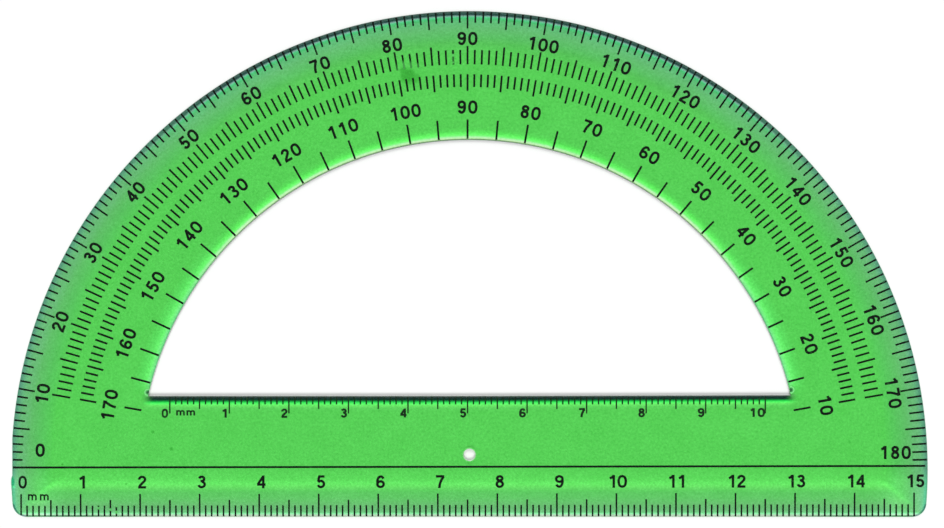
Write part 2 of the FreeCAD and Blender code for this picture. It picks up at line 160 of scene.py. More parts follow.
# %% Mesh helpers
def grid_faces(rows, columns):
    """Quads between neighbouring rows of a grid that closes on itself along its columns."""
    row, column = np.meshgrid(np.arange(rows - 1), np.arange(columns), indexing="ij")
    following = (column + 1) % columns
    quads = np.stack([
        row * columns + column,
        row * columns + following,
        (row + 1) * columns + following,
        (row + 1) * columns + column,
    ], axis=-1)
    return quads.reshape(-1, 4)


def loop_edges(count, first):
    """Pairs of point numbers that go once round a loop."""
    index = np.arange(count)
    return np.stack([first + index, first + (index + 1) % count], axis=-1)


def inside_count(points, loops):
    """How many outlines each point is inside: a line from it to the right crosses each such
    outline an odd number of times."""
    inside = np.zeros(len(points), dtype=int)
    for loop in loops:
        (x1, y1), (x2, y2) = loop.T, np.roll(loop, -1, axis=0).T
        x, y = points[:, :1], points[:, 1:]
        straddles = (y1 > y) != (y2 > y)
        crossing = x1 + (y - y1) * (x2 - x1) / np.where(y2 == y1, 1.0, y2 - y1)
        inside += (straddles & (x < crossing)).sum(axis=1) % 2
    return inside


def fill_between(loops):
    """Triangles between closed outlines: kept where a triangle's middle is in an odd number."""
    points = np.concatenate(loops)
    firsts = np.cumsum([0] + [len(loop) for loop in loops[:-1]])
    edges = np.concatenate([loop_edges(len(loop), first) for loop, first in zip(loops, firsts)])
    found = delaunay_2d_cdt([Vector(p) for p in points], edges.tolist(), [], 0, 1e-6)
    corners = np.array([tuple(p) for p in found[0]])
    faces = np.array([face for face in found[2] if len(face) == 3])
    middles = corners[faces].mean(axis=1)
    return corners, faces[inside_count(middles, loops) % 2 == 1]


def make_object(name, points, faces, normals=None):
    """A mesh object from points in millimetres; normals, if given, hold for each point."""
    mesh = bpy.data.meshes.new(name)
    mesh.from_pydata((points * MM).tolist(), [], [list(face) for face in faces])
    mesh.validate()
    mesh.shade_smooth()
    if normals is not None:
        mesh.normals_split_custom_set_from_vertices(normals.tolist())
    piece = bpy.data.objects.new(name, mesh)
    bpy.context.scene.collection.objects.link(piece)
    print(f"{name}: {len(points)} points, {len(faces)} faces")
    return piece


print("quads of a grid of 3 rows and 8 columns:", len(grid_faces(3, 8)))

# %% [markdown]
# ## Three outlines
#
# The plate has three walls: the rim, the window and the pin hole. Each is an outline that a profile
# is carried round, so each outline is a function of how far it is set into the plastic. Setting an
# arc in means changing its radius, and setting a straight edge in means moving it.

# %% The rim's outline
ARC_POINTS, CORNER_POINTS, EDGE_POINTS = 480, 16, 60


def polar(centre, radius, angles):
    """Points on a circle, for angles in radians."""
    return centre + radius * np.stack([np.cos(angles), np.sin(angles)], axis=-1)


def corner_centre():
    """The centre of the rounded corner touches the rim's circle and the straight edge."""
    y = BASE + CORNER
    return math.sqrt((RIM - CORNER) ** 2 - y * y), y


def rim_outline(inset):
    """Anticlockwise: the arc from right to left, a corner, the straight edge and a corner."""
    x, y = corner_centre()
    tilt = math.atan2(y, x)
    arc = polar([0, 0], RIM - inset, np.linspace(tilt, math.pi - tilt, ARC_POINTS))
    turn = np.linspace(math.pi - tilt, 1.5 * math.pi, CORNER_POINTS)[1:]
    left = polar([-x, y], CORNER - inset, turn)
    edge_x = np.linspace(-x, x, EDGE_POINTS)[1:-1]
    edge = np.stack([edge_x, np.full(len(edge_x), BASE + inset)], axis=-1)
    right = left[::-1] * [-1, 1]
    outline = np.concatenate([arc, left, edge, right])
    trimmed = (outline[:, 0] < 0) & (outline[:, 1] > TRIM_LOW) & (outline[:, 1] < TRIM_HIGH)
    outline[trimmed, 0] = np.maximum(outline[trimmed, 0], TRIM_X + inset)
    return outline


def gate_bulge(outline):
    """How far the gate's stub stands out of the rim: a parabola, zero away from the gate."""
    share = (outline[:, 1] - GATE_Y) / GATE_HALF
    return np.where(outline[:, 0] < -RIM / 2, GATE_REACH * np.maximum(1 - share * share, 0.0), 0.0)


print("points round the rim:", len(rim_outline(0.0)))

# %% The window's and the hole's outlines
WINDOW_POINTS, SILL_POINTS, HOLE_POINTS = 320, 92, 64


def window_outline(inset):
    """Clockwise, because it is a hole: the arc from left to right, then the sill back to the left.

    Each corner is where the circle of the inset radius crosses the inset sill, whose right half rises
    a little.
    """
    radius, sill = WINDOW + inset, SILL - inset
    left = math.pi - math.asin(sill / radius)
    right = math.asin((sill - SILL_RISE * radius * math.cos(left)) / radius)
    arc = polar([0, 0], radius, np.linspace(left, right, WINDOW_POINTS))
    sill_x = np.linspace(arc[-1, 0], arc[0, 0], SILL_POINTS)[1:-1]
    rise = (arc[-1, 1] - sill) * np.maximum(sill_x, 0.0) / arc[-1, 0]
    return np.concatenate([arc, np.stack([sill_x, sill + rise], axis=-1)])


def hole_outline(inset):
    """Clockwise circle about the pin hole's centre."""
    clockwise = -np.linspace(0, 2 * math.pi, HOLE_POINTS, endpoint=False)
    return polar([0, HOLE_RISE], HOLE + inset, clockwise)


print("points round the window and the hole:", len(window_outline(0.0)), len(hole_outline(0.0)))

# %% [markdown]
# ## Walls, bevels and flats
#
# A wall's profile starts on the underside, turns a small quarter circle up the wall and another over
# its top. Because every point of such a profile has an exact normal, the mesh carries those normals,
# and the flats stay perfectly flat to a ray of light while the edges shade as round.

# %% Profiles
def quarter(radius, steps, start):
    """Offsets from a quarter circle's centre, and outward normals, over a right angle."""
    angle = start + np.linspace(0, 0.5 * math.pi, steps)
    normal = np.stack([-np.cos(angle), np.sin(angle)], axis=-1)
    return radius * normal, normal


def wall_profile(height, soft=SOFT, steps=5, levels=4):
    """Inset and height of each row from the underside to the top edge, with each row's normal.

    The two quarter circles have the soft radius, and the wall between them stands upright. The
    window and the hole tilt it afterwards.
    """
    low, low_normal = quarter(soft, steps, -0.5 * math.pi)
    high, high_normal = quarter(soft, steps, 0.0)
    low = low + [soft, soft]
    high = high + [soft, height - soft]
    rise = np.linspace(0, 1, levels + 2)[1:-1, None]
    wall = low[-1] + rise * (high[0] - low[-1])
    wall_normal = np.repeat(low_normal[-1:], levels, axis=0)
    inset, level = np.concatenate([low, wall, high]).T
    return inset, level, np.concatenate([low_normal, wall_normal, high_normal])


def carry(outline, insets, levels, normals):
    """Carry a profile round an outline: each row is the outline at its own inset and height.

    The way out of the plastic is the outline's tangent turned a right angle. A profile's normal has
    a share along that way and a share up.
    """
    rows, row_normals = [], []
    for inset, level, (inward, up) in zip(insets, levels, normals):
        row = outline(inset)
        tangent = np.roll(row, -1, axis=0) - np.roll(row, 1, axis=0)
        tangent /= np.linalg.norm(tangent, axis=1, keepdims=True)
        outward = np.stack([tangent[:, 1], -tangent[:, 0]], axis=-1)
        rows.append(np.column_stack([row, np.full(len(row), level)]))
        row_normals.append(np.column_stack([-inward * outward, np.full(len(row), up)]))
    return np.array(rows), np.array(row_normals)


print("rows up a wall:", len(wall_profile(EDGE_THICK)[0]))

# %% The rim and its bevels
BEVEL_ROWS = 26
CROWDING = 0.8       # below 1, the rows lie closer together towards the flat
INNER_MARGIN = 0.9   # how far the band runs on past the bevels, on to the flat


def bevel_start(outline):
    """Where each rim point's line inwards ends: just past the bevels' start, on the flat.

    Points on the arc go towards its centre and points on the edge go straight up the plate. Where
    the two would cross they meet at the corner of the flat.
    """
    radius = RIM - ARC_BEVEL - INNER_MARGIN
    height = BASE + BASE_BEVEL + INNER_MARGIN
    corner_x = math.sqrt(radius * radius - height * height)
    toward = outline * (radius / np.linalg.norm(outline, axis=1, keepdims=True))
    on_edge = np.abs(outline[:, 1] - BASE) < CORNER / 2
    start = np.where((toward[:, 1:] > height) & ~on_edge[:, None], toward, [[0, height]])
    below = start[:, 1] <= height
    start[below, 0] = np.clip(outline[below, 0], -corner_x, corner_x)
    return start


def rim_band():
    """Rows from the underside, up the wall, over its soft edge and in across the bevel to the flat.

    The upper half of the wall is let down to meet the top face where that starts.
    """
    insets, levels, normals = wall_profile(EDGE_THICK, levels=6)
    points, point_normals = carry(rim_outline, insets, levels, normals)
    bulge = gate_bulge(points[0])
    low_rows = points[:, :1, 2] < GATE_TOP
    points[:, :, 0] -= np.where(low_rows, bulge[None, :], 0.0)
    crest = points[-1, :, :2]
    inner = bevel_start(rim_outline(0.0))
    share = np.linspace(0, 1, BEVEL_ROWS)[:, None, None] ** CROWDING
    sloped = crest + share * (inner - crest)
    height = top_height(sloped[..., 0], sloped[..., 1])
    half = len(levels) // 2
    share_up = np.linspace(0, 1, len(levels) - half + 1)[1:, None]
    points[half:, :, 2] -= (points[-1, :, 2] - height[0]) * share_up
    slope_normals = top_normal(sloped[..., 0], sloped[..., 1])
    band = np.concatenate([points[:-1], np.dstack([sloped, height])])
    return band, np.concatenate([point_normals[:-1], slope_normals])


rim, rim_normals = rim_band()
print("rim band:", rim.shape)

# %% The window's and the hole's walls
def window_profile():
    """The wall leans back by the mould's draft, so the window opens a little towards the top."""
    insets, levels, normals = wall_profile(THICK - INSIDE, CRISP)
    upright = normals[:, 0] < -0.99
    normals[upright] = np.array([-1.0, DRAFT]) / math.hypot(1.0, DRAFT)
    return insets + DRAFT * levels, levels, normals


window, window_normals = carry(window_outline, *window_profile())


def hole_profile():
    """A straight wall, then the countersink's cone, with a soft edge at the top."""
    insets, levels, normals = wall_profile(THICK - INSIDE, CRISP)
    cone = np.maximum(levels - (THICK - SINK_DEPTH), 0.0)
    tilted = (cone > 0) & (normals[:, 1] < 0.8)
    normals[tilted] = np.array([-1.0, 1.0]) / math.sqrt(2)
    return insets + cone, levels, normals


hole, hole_normals = carry(hole_outline, *hole_profile())
print("window band:", window.shape, "hole band:", hole.shape)

# %% Join the bands and the flats
def flat_face(row, level, up):
    """One flat of the plate, between the given row of each band."""
    corners, faces = fill_between([rim[row, :, :2], window[row, :, :2], hole[row, :, :2]])
    points = np.column_stack([corners, np.full(len(corners), level)])
    normals = np.tile([0.0, 0.0, float(up)], (len(points), 1))
    return points, faces if up > 0 else faces[:, ::-1], normals


def closed_plate():
    """All bands and both flats as one list of points, faces and normals."""
    groups = []
    for band, normals in ((rim, rim_normals), (window, window_normals), (hole, hole_normals)):
        rows, columns = band.shape[:2]
        groups.append((band.reshape(-1, 3), grid_faces(rows, columns), normals.reshape(-1, 3)))
    groups.append(flat_face(0, 0.0, -1))
    groups.append(flat_face(-1, THICK - INSIDE, 1))
    points, faces, normals, count = [], [], [], 0
    for group_points, group_faces, group_normals in groups:
        points.append(group_points)
        faces.extend((group_faces + count).tolist())
        normals.append(group_normals)
        count += len(group_points)
    return np.concatenate(points), faces, np.concatenate(normals)


plate = make_object("plate", *closed_plate())
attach(plate, "root")
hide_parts("protractor_plate")

# %% [markdown]
# ## The shapes of the digits
#
# Digits on a scale like this are drawn with a pen of one width, so each is a few strokes: straight
# runs and parts of ovals. The shapes below are in units of the digit's height. A stroke becomes a
# ribbon of quads, and one triangulation of all the ribbons of a digit melts their overlaps, so no
# two faces lie in the same place.

# %% Strokes of the digits
def oval(centre, radii, first, last, steps=10):
    """Part of an oval, from one angle to another in degrees; falling angles go clockwise."""
    angle = np.radians(np.linspace(first, last, steps + 1))
    return centre + np.array(radii) * np.stack([np.cos(angle), np.sin(angle)], axis=-1)


def run(*points):
    """A run of straight strokes."""
    return np.array(points, dtype=float)


def chain(*parts):
    """Several parts joined end to end."""
    return np.concatenate(parts)


def squared_oval(centre, radii, steps=24, power=2.35):
    """A closed oval with fuller shoulders: cosine and sine raised to a power below one."""
    angle = np.linspace(0, 2 * math.pi, steps + 1)
    way = np.stack([np.cos(angle), np.sin(angle)], axis=-1)
    return centre + np.array(radii) * np.sign(way) * np.abs(way) ** (2 / power)


SIX = [
    oval((0.33, 0.31), (0.235, 0.215), 0, 360, 18),
    oval((0.345, 0.50), (0.25, 0.405), 36, 205, 12),
]
STROKES = {
    "0": [squared_oval((0.35, 0.5), (0.262, 0.405))],
    "1": [
        run((0.295, 0.0), (0.295, 1.0)),
        run((-0.01, 0.745), (0.11, 0.78), (0.20, 0.85), (0.25, 0.92)),
    ],
    "2": [
        chain(oval((0.31, 0.70), (0.215, 0.205), 185, -38, 12), run((0.15, 0.23), (0.11, 0.07))),
        run((0.015, 0.09), (0.61, 0.09)),
    ],
    "3": [
        chain(oval((0.305, 0.735), (0.185, 0.17), 168, -88, 12), run((0.22, 0.56))),
        oval((0.305, 0.305), (0.222, 0.21), 88, -168, 14),
    ],
    "4": [
        run((0.46, 0.0), (0.46, 1.0)),
        run((0.0, 0.295), (0.63, 0.295)),
        run((0.44, 0.90), (0.06, 0.32)),
    ],
    "5": [
        run((0.12, 0.91), (0.58, 0.91)),
        run((0.18, 0.93), (0.115, 0.50)),
        oval((0.305, 0.33), (0.225, 0.24), 148, -160, 14),
    ],
    "6": SIX,
    "7": [
        run((0.0, 0.91), (0.62, 0.91)),
        run((0.565, 0.88), (0.44, 0.69), (0.34, 0.47), (0.275, 0.24), (0.25, 0.0)),
    ],
    "8": [
        oval((0.31, 0.745), (0.195, 0.16), 0, 360, 14),
        oval((0.31, 0.305), (0.222, 0.212), 0, 360, 16),
    ],
    "9": [np.array([0.66, 1.0]) - stroke for stroke in SIX],
    "m": [
        run((0.12, 0.0), (0.12, 1.0)),
        chain(oval((0.41, 0.62), (0.29, 0.26), 170, 0, 8), run((0.70, 0.0))),
        chain(oval((0.99, 0.62), (0.29, 0.26), 170, 0, 8), run((1.28, 0.0))),
    ],
}
SHAPE_WIDTH = {"0": 0.70, "1": 0.42, "2": 0.62, "3": 0.62, "4": 0.63, "5": 0.62, "6": 0.66,
               "7": 0.62, "8": 0.62, "9": 0.66, "m": 1.40}
print("shapes:", "".join(sorted(STROKES)))

# %% From strokes to a flat shape
INK_FILM = 0.026    # thickness of the ink
FILM_GAP = 0.001    # a hair of air under it, so that its underside and the plate never share a place


def ribbon(stroke, width):
    """Quads along a stroke: at each point the two sides stand off at right angles to its run, and
    further in a bend, by one over the cosine of half the turn."""
    run_way = np.diff(stroke, axis=0)
    run_way /= np.linalg.norm(run_way, axis=1, keepdims=True)
    closed = np.allclose(stroke[0], stroke[-1])
    before = np.concatenate([run_way[-1:] if closed else run_way[:1], run_way])
    after = np.concatenate([run_way, run_way[:1] if closed else run_way[-1:]])
    way = before + after
    way /= np.linalg.norm(way, axis=1, keepdims=True)
    stretch = 1 / np.maximum((way * after).sum(axis=1, keepdims=True), 0.5)
    side = np.stack([-way[:, 1], way[:, 0]], axis=-1) * stretch * width / 2
    left, right = stroke + side, stroke - side
    return np.stack([right[:-1], right[1:], left[1:], left[:-1]], axis=1)


def flat_shape(name, width):
    """Triangles of a shape, without overlaps: those of a triangulation that any quad covers."""
    quads = np.concatenate([ribbon(stroke, width) for stroke in STROKES[name]])
    corners = [Vector(p) for p in quads.reshape(-1, 2)]
    faces = np.arange(len(corners)).reshape(-1, 4).tolist()
    found = delaunay_2d_cdt(corners, [], faces, 0, 1e-4)
    kept = [face for face, owners in zip(found[2], found[5]) if owners]
    points = np.array([tuple(p) for p in found[0]])
    points[:, 0] -= SHAPE_WIDTH[name] / 2
    return points, np.array(kept)


def outline_edges(faces):
    """Edges that only one triangle has, in its direction: the shape's outline."""
    edges = np.concatenate([faces[:, [0, 1]], faces[:, [1, 2]], faces[:, [2, 0]]])
    size = faces.max() + 1
    code, back = edges[:, 0] * size + edges[:, 1], edges[:, 1] * size + edges[:, 0]
    return edges[~np.isin(code, back)]


def film(points, faces):
    """A closed film of ink on the plate: the shape on the plate's top, again a film's thickness
    higher, and a wall of quads round it."""
    count = len(points)
    x, y = points.T
    low = top_height(x, y) + INSIDE + FILM_GAP
    high = low + INK_FILM
    solid = np.concatenate([np.column_stack([points, low]), np.column_stack([points, high])])
    rim_edges = outline_edges(faces)
    walls = np.column_stack([rim_edges, rim_edges[:, ::-1] + count])
    return solid, [*faces[:, ::-1].tolist(), *(faces + count).tolist(), *walls.tolist()]


print("triangles of an 8:", len(flat_shape("8", 0.15)[1]))

# %% [markdown]
# ## Setting the numbers
#
# A number is set like type: each digit is centred in a cell of the same width, and the row of cells
# is centred on its place. Round the arc the whole number is turned, so that it stands on its ring.
# The print was laid down a little off the moulding's centre, so its own centre is used for all of it.

# %% Rows of numbers
PRINT_X, PRINT_Y = -0.32, 0.28    # the print's own centre


def text_shape(text, height, width, advance, widen=1.0):
    """All triangles of a text whose foot is centred on the origin; widen stretches each digit."""
    points, faces, count = [], [], 0
    for place, name in enumerate(text):
        shape, triangles = flat_shape(name, width / height)
        shift = (place - (len(text) - 1) / 2) * advance
        points.append(shape * [height * widen, height] + [shift, 0.0])
        faces.append(triangles + count)
        count += len(shape)
    return np.concatenate(points), np.concatenate(faces)


def placed(shape, x, y, turn=0.0):
    """Turn a shape about the origin by an angle in degrees, then move it."""
    points, faces = shape
    c, s = math.cos(math.radians(turn)), math.sin(math.radians(turn))
    return points @ np.array([[c, s], [-s, c]]) + [x, y], faces


def print_row(name, shapes):
    """One piece from many flat shapes, each made a film on the plate."""
    points, faces, count = [], [], 0
    for shape in shapes:
        solid, solid_faces = film(*shape)
        points.append(solid)
        faces.extend([[index + count for index in face] for face in solid_faces])
        count += len(solid)
    piece = make_object(name, np.concatenate(points), faces)
    piece.data.shade_flat()
    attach(piece, "root")
    return piece


# %% Numbers round the rings
TENS = np.arange(10, 180, 10)
RING_STYLE = (2.24, 0.445, 1.86, 0.98)    # height, pen and cell in mm, and how much a digit is widened
OUTER_RING, INNER_RING = (71.44, 70.97), (59.94, 59.47)    # half axes of the ovals that the feet are on
OUTER_SLIPS = [
    [-0.11, -0.21, -0.17, -0.19, 0.18, 0.24, 0.05, 0.09, -0.04,
     -0.12, -0.01, -0.05, -0.17, -0.19, 0.01, -0.21, -0.12],
    [0.05, 0.10, 0.03, 0.03, -0.02, 0.05, 0.03, 0.03, 0.0,
     -0.05, -0.05, 0.10, 0.09, 0.14, 0.09, 0.16, -0.11],
]
INNER_SLIPS = [
    [-0.04, -0.10, -0.15, -0.07, -0.05, -0.01, 0.02, -0.02, -0.04,
     0.12, -0.08, 0.07, -0.06, 0.03, 0.08, 0.05, -0.04],
    [0.02, 0.06, 0.08, 0.08, 0.04, 0.05, 0.07, -0.03, -0.02,
     -0.01, -0.01, -0.02, 0.0, 0.01, 0.06, 0.04, 0.0],
]


def ring_numbers(oval_axes, numbers, slips):
    """Numbers at each tenth degree. Their feet are on an oval about the print's centre, less the
    small slips that the print has along the ring and outwards, and each is turned to stand on it."""
    wide, high = oval_axes
    along, out = np.array(slips)
    c, s = np.cos(np.radians(TENS)), np.sin(np.radians(TENS))
    x = PRINT_X + wide * c + along * s + out * c
    y = PRINT_Y + high * s - along * c + out * s
    texts = [text_shape(str(number), *RING_STYLE) for number in numbers]
    return [placed(*each) for each in zip(texts, x, y, TENS - 90)]


ends = [
    placed(text_shape("0", *RING_STYLE), -72.09, 2.12),
    placed(text_shape("180", *RING_STYLE), 71.50, 1.72),
]
numbers = [
    print_row("outer_degree_numbers", ring_numbers(OUTER_RING, 180 - TENS, OUTER_SLIPS) + ends),
    print_row("inner_degree_numbers", ring_numbers(INNER_RING, TENS, INNER_SLIPS)),
]

# %% Ruler numbers and units
BASE_STYLE, WINDOW_STYLE = (2.17, 0.41, 1.61, 1.05), (1.50, 0.345, 1.42, 1.1)
ROW_RISE = 0.014                        # how much a row climbs from each number to the next
ZERO_SHIFT, ZERO_NARROWER = 0.06, 0.12  # a row's first 0 stands further left and is narrower


def ruler_numbers(count, start, step, y, style, single, double):
    """Numbers at each centimetre. One digit and two digits sit a different way off their mark."""
    shapes = []
    for number in range(count):
        is_zero = number == 0
        offset = single - ZERO_SHIFT * is_zero if number < 10 else double
        text = text_shape(str(number), *style[:3], style[3] - ZERO_NARROWER * is_zero)
        shapes.append(placed(text, start + step * number + offset, y + ROW_RISE * number))
    return shapes


base_numbers = ruler_numbers(16, PRINT_X - 75, 10.01, -3.23, BASE_STYLE, 0.33, 0.07)
window_numbers = ruler_numbers(11, PRINT_X - 50, 10.0, 8.67, WINDOW_STYLE, -0.77, -1.38)
units = [
    placed(text_shape("mm", 1.05, 0.27, 2.02), -72.41, -5.21),
    placed(text_shape("mm", 0.89, 0.265, 1.73, 1.13), -47.66, 9.05),
]
numbers += [
    print_row("base_ruler_numbers", base_numbers),
    print_row("window_ruler_numbers", window_numbers),
    print_row("unit_letters", units),
]

# %% [markdown]
# ## Small tools for nodes
#
# Node trees get long when each node is made by hand. A few small functions keep them readable: one
# for arithmetic, one for a step that eases from 0 to 1, one for a colour ramp whose stops are given
# in millimetres, and two that mix colours. Each takes numbers, colours or other nodes' sockets.

# %% Node helpers
def feed(tree, sockets, values):
    """Give each socket its value: another node's socket, a colour of red, green and blue, or a
    number."""
    for socket, value in zip(sockets, values):
        if isinstance(value, bpy.types.NodeSocket):
            tree.links.new(value, socket)
        elif isinstance(value, tuple):
            socket.default_value = (*value, 1.0)
        else:
            socket.default_value = value


def calc(tree, operation, first, *others):
    """Math nodes: the operation on the first value and the next, then on that and the one after."""
    for other in others or (0.0,):
        node = tree.nodes.new("ShaderNodeMath")
        node.operation = operation
        feed(tree, node.inputs, (first, other))
        first = node.outputs[0]
    return first


def ease(tree, value, low, high):
    """0 below low, 1 above high, and a smooth step between."""
    node = tree.nodes.new("ShaderNodeMapRange")
    node.interpolation_type = "SMOOTHSTEP"
    tree.links.new(value, node.inputs["Value"])
    node.inputs["From Min"].default_value = low
    node.inputs["From Max"].default_value = high
    return node.outputs["Result"]


def ramp(tree, value, stops):
    """A colour for each distance in millimetres, straight lines between the stops."""
    reach = stops[-1][0]
    node = tree.nodes.new("ShaderNodeValToRGB")
    tree.links.new(calc(tree, "DIVIDE", value, reach), node.inputs["Fac"])
    elements = node.color_ramp.elements
    elements.remove(elements[1])
    for index, (distance, colour) in enumerate(stops):
        element = elements[0] if index == 0 else elements.new(distance / reach)
        element.position = distance / reach
        element.color = (*colour, 1.0)
    return node.outputs["Color"]


def blend(tree, share, first, second, kind="MIX"):
    """Mix two colours by the second one's share, plainly or in another of the node's ways."""
    node = tree.nodes.new("ShaderNodeMix")
    node.data_type = "RGBA"
    node.blend_type = kind
    feed(tree, (node.inputs[0], node.inputs[6], node.inputs[7]), (share, first, second))
    return node.outputs[2]


def tinted(tree, colour, factor):
    """A colour times a factor, channel by channel."""
    return blend(tree, 1.0, colour, factor, "MULTIPLY")


def plate_place(tree):
    """Object coordinates: x, y and z in millimetres, and the vector as it is, in metres."""
    place = tree.nodes.new("ShaderNodeTexCoord").outputs["Object"]
    split = tree.nodes.new("ShaderNodeSeparateXYZ")
    tree.links.new(place, split.inputs[0])
    return *(calc(tree, "MULTIPLY", split.outputs[axis], 1000.0) for axis in "XYZ"), place


def distance_to(tree, x, y, centre_x, centre_y):
    """The distance of a point, given by two sockets, from a fixed centre."""
    dx, dy = calc(tree, "SUBTRACT", x, centre_x), calc(tree, "SUBTRACT", y, centre_y)
    squares = calc(tree, "ADD", calc(tree, "MULTIPLY", dx, dx), calc(tree, "MULTIPLY", dy, dy))
    return calc(tree, "SQRT", squares)


def new_group(name, outputs):
    """An empty node group with colour or value outputs."""
    group = bpy.data.node_groups.new(name, "ShaderNodeTree")
    for output, kind in outputs:
        group.interface.new_socket(output, in_out="OUTPUT", socket_type=kind)
    return group, group.nodes.new("NodeGroupOutput")


def seen_directly(tree):
    """1 for a ray from the camera, also by way of glass, and 0 once it has been scattered, so that
    a surface can show white without lighting anything."""
    path = tree.nodes.new("ShaderNodeLightPath")
    seen = calc(tree, "MAXIMUM", path.outputs["Is Camera Ray"], path.outputs["Is Transmission Ray"])
    return calc(tree, "MULTIPLY", seen, calc(tree, "LESS_THAN", path.outputs["Diffuse Depth"], 0.5))


print("node helpers ready")

# %% [markdown]
# ## Light and shade painted near the edges
#
# Near an edge a clear plate never looks like its middle. Light comes down at a slant, and a wall
# that faces away from it throws the light back under the plate, so a glow runs inside that edge. A
# wall that faces the light sends it on sideways, and leaves a dark band with a bright line behind
# it. The bevels are thinner and look greyer and bluer than the flat, partly from their thinner
# plastic and partly from how the light falls on them. All of this is painted: each edge gets a ramp
# of factors on the flat's colour by the distance from it, painted glow, painted dark bands and
# painted bright lines. What is left are small painted places: a painted highlight on the mitre where
# two bevels meet, a thin painted dark line under both ends of the straight edge, painted light and
# shade on the stub of the gate with a painted glint, and a painted curl of light round painted shade
# in each lower corner of the window.

# %% Painted light and shade outside: the rim at the top, at the sides and at its low ends, and the base edge
WHITE = (1.0, 1.0, 1.0)    # no change; each stop is a distance in mm and a factor on the flat's colour
# Painted light and shade near the outer edges: dark bands, bright lines and glows; the bevels' greyer,
# bluer tone is partly their thinner plastic.
RIM_TOP = [
    (0.0, (0.58, 0.24, 1.0)), (0.30, (0.56, 0.18, 1.0)), (0.46, (0.14, 0.11, 0.52)),
    (0.54, (0.13, 0.11, 0.50)), (0.69, (0.62, 0.22, 1.35)), (0.84, (2.3, 0.70, 3.6)),
    (1.02, (1.05, 0.95, 2.85)), (1.21, (0.74, 0.90, 2.0)), (1.40, (0.85, 0.86, 1.78)),
    (1.62, (1.2, 0.83, 2.05)), (2.6, (1.39, 0.83, 1.92)), (3.2, (1.32, 0.84, 1.73)),
    (4.4, (1.13, 0.86, 1.40)), (5.3, (1.02, 0.87, 1.10)), (6.2, (1.04, 0.95, 1.08)), (7.5, WHITE),
]
RIM_SIDE = [
    (0.0, (1.0, 0.48, 2.0)), (0.31, (1.0, 0.52, 2.1)), (0.65, (1.22, 0.66, 2.2)),
    (1.0, (1.38, 0.75, 2.15)), (1.5, (1.50, 0.80, 2.0)), (2.0, (1.47, 0.80, 1.94)),
    (3.2, (1.24, 0.83, 1.48)), (4.4, (1.1, 0.87, 1.3)), (5.7, (1.02, 0.94, 1.15)), (7.0, WHITE),
]
BASE_EDGE = [
    (0.0, (4.9, 1.0, 5.0)), (0.27, (4.9, 1.0, 5.0)), (0.44, (4.4, 1.3, 5.2)),
    (0.60, (2.76, 1.45, 4.36)), (0.77, (1.85, 1.05, 2.66)), (0.94, (1.7, 0.87, 2.27)),
    (1.6, (1.47, 0.80, 1.8)), (2.1, (1.47, 0.84, 1.73)), (2.8, (1.36, 0.90, 1.57)),
    (3.47, (1.24, 0.92, 1.4)), (4.14, (1.16, 0.93, 1.3)), (4.5, (1.2, 1.0, 1.28)),
    (4.8, (1.36, 1.09, 1.37)), (5.15, (1.47, 1.21, 1.42)), (5.5, (1.44, 1.28, 1.42)),
    (5.8, (1.33, 1.25, 1.34)), (6.15, (1.22, 1.15, 1.2)), (6.5, (1.13, 1.1, 1.13)), (8.0, WHITE),
]
RIM_END = [
    (0.0, (1.1, 1.3, 1.1)), (0.33, (1.2, 1.8, 1.6)), (0.67, (1.45, 1.45, 1.4)),
    (1.0, (1.35, 1.27, 1.3)), (1.5, (1.24, 1.2, 1.24)), (2.0, (1.13, 1.16, 1.14)),
    (3.2, (1.18, 1.19, 1.17)), (4.4, (1.3, 1.25, 1.24)), (5.6, (1.28, 1.22, 1.28)),
    (6.8, (1.15, 1.1, 1.17)), (9.0, WHITE),
]
print("stops outside:", [len(stops) for stops in (RIM_TOP, RIM_SIDE, BASE_EDGE, RIM_END)])

# %% Painted light and shade inside: the window's arc at the top and at the sides, its sill, and its corners
# Painted light and shade near the window: the glow by its arc, the dark band and bright line under its
# sill, and curls of light round painted shade in its corners.
ARC_TOP = [
    (0.0, (0.4, 0.16, 0.8)), (0.05, (0.5, 0.2, 0.9)), (0.13, (3.5, 1.0, 2.6)),
    (0.28, (6.2, 1.57, 5.4)), (0.40, (6.0, 1.57, 5.4)), (0.54, (4.0, 1.57, 4.1)),
    (0.70, (2.3, 1.57, 2.4)), (0.85, (1.7, 1.56, 1.75)), (1.0, (1.45, 1.5, 1.47)),
    (1.2, (1.23, 1.36, 1.25)), (1.4, (1.1, 1.22, 1.12)), (1.65, (1.04, 1.09, 1.05)), (2.2, WHITE),
]
ARC_SIDE = [
    (0.0, (0.8, 0.5, 1.5)), (0.08, (1.1, 0.75, 2.0)), (0.20, (1.7, 1.15, 2.6)),
    (0.42, (2.0, 1.38, 2.6)), (0.65, (1.85, 1.45, 2.25)), (0.9, (1.6, 1.44, 1.8)),
    (1.2, (1.38, 1.35, 1.57)), (1.6, (1.19, 1.2, 1.33)), (2.0, (1.08, 1.11, 1.18)), (3.0, WHITE),
]
SILL_EDGE = [
    (0.0, (0.8, 0.25, 1.0)), (0.20, (0.5, 0.12, 0.75)), (0.36, (0.08, 0.07, 0.30)),
    (0.60, (0.03, 0.06, 0.26)), (0.74, (0.05, 0.25, 0.30)), (0.90, (0.10, 0.62, 0.58)),
    (1.06, (0.33, 1.25, 1.02)), (1.22, (0.84, 1.53, 1.42)), (1.40, (1.32, 1.52, 1.58)),
    (1.56, (1.49, 1.34, 1.5)), (1.75, (1.44, 1.2, 1.4)), (2.0, (1.15, 1.05, 1.2)), (2.6, WHITE),
]
CORNER_CURL = [
    (0.0, (0.38, 0.24, 0.62)), (0.2, (0.38, 0.24, 0.62)), (0.38, (1.1, 0.85, 1.4)),
    (0.52, (2.9, 1.38, 3.4)), (0.66, (1.1, 1.0, 1.2)), (0.8, WHITE),
]
print("stops inside:", [len(stops) for stops in (ARC_TOP, ARC_SIDE, SILL_EDGE, CORNER_CURL)])

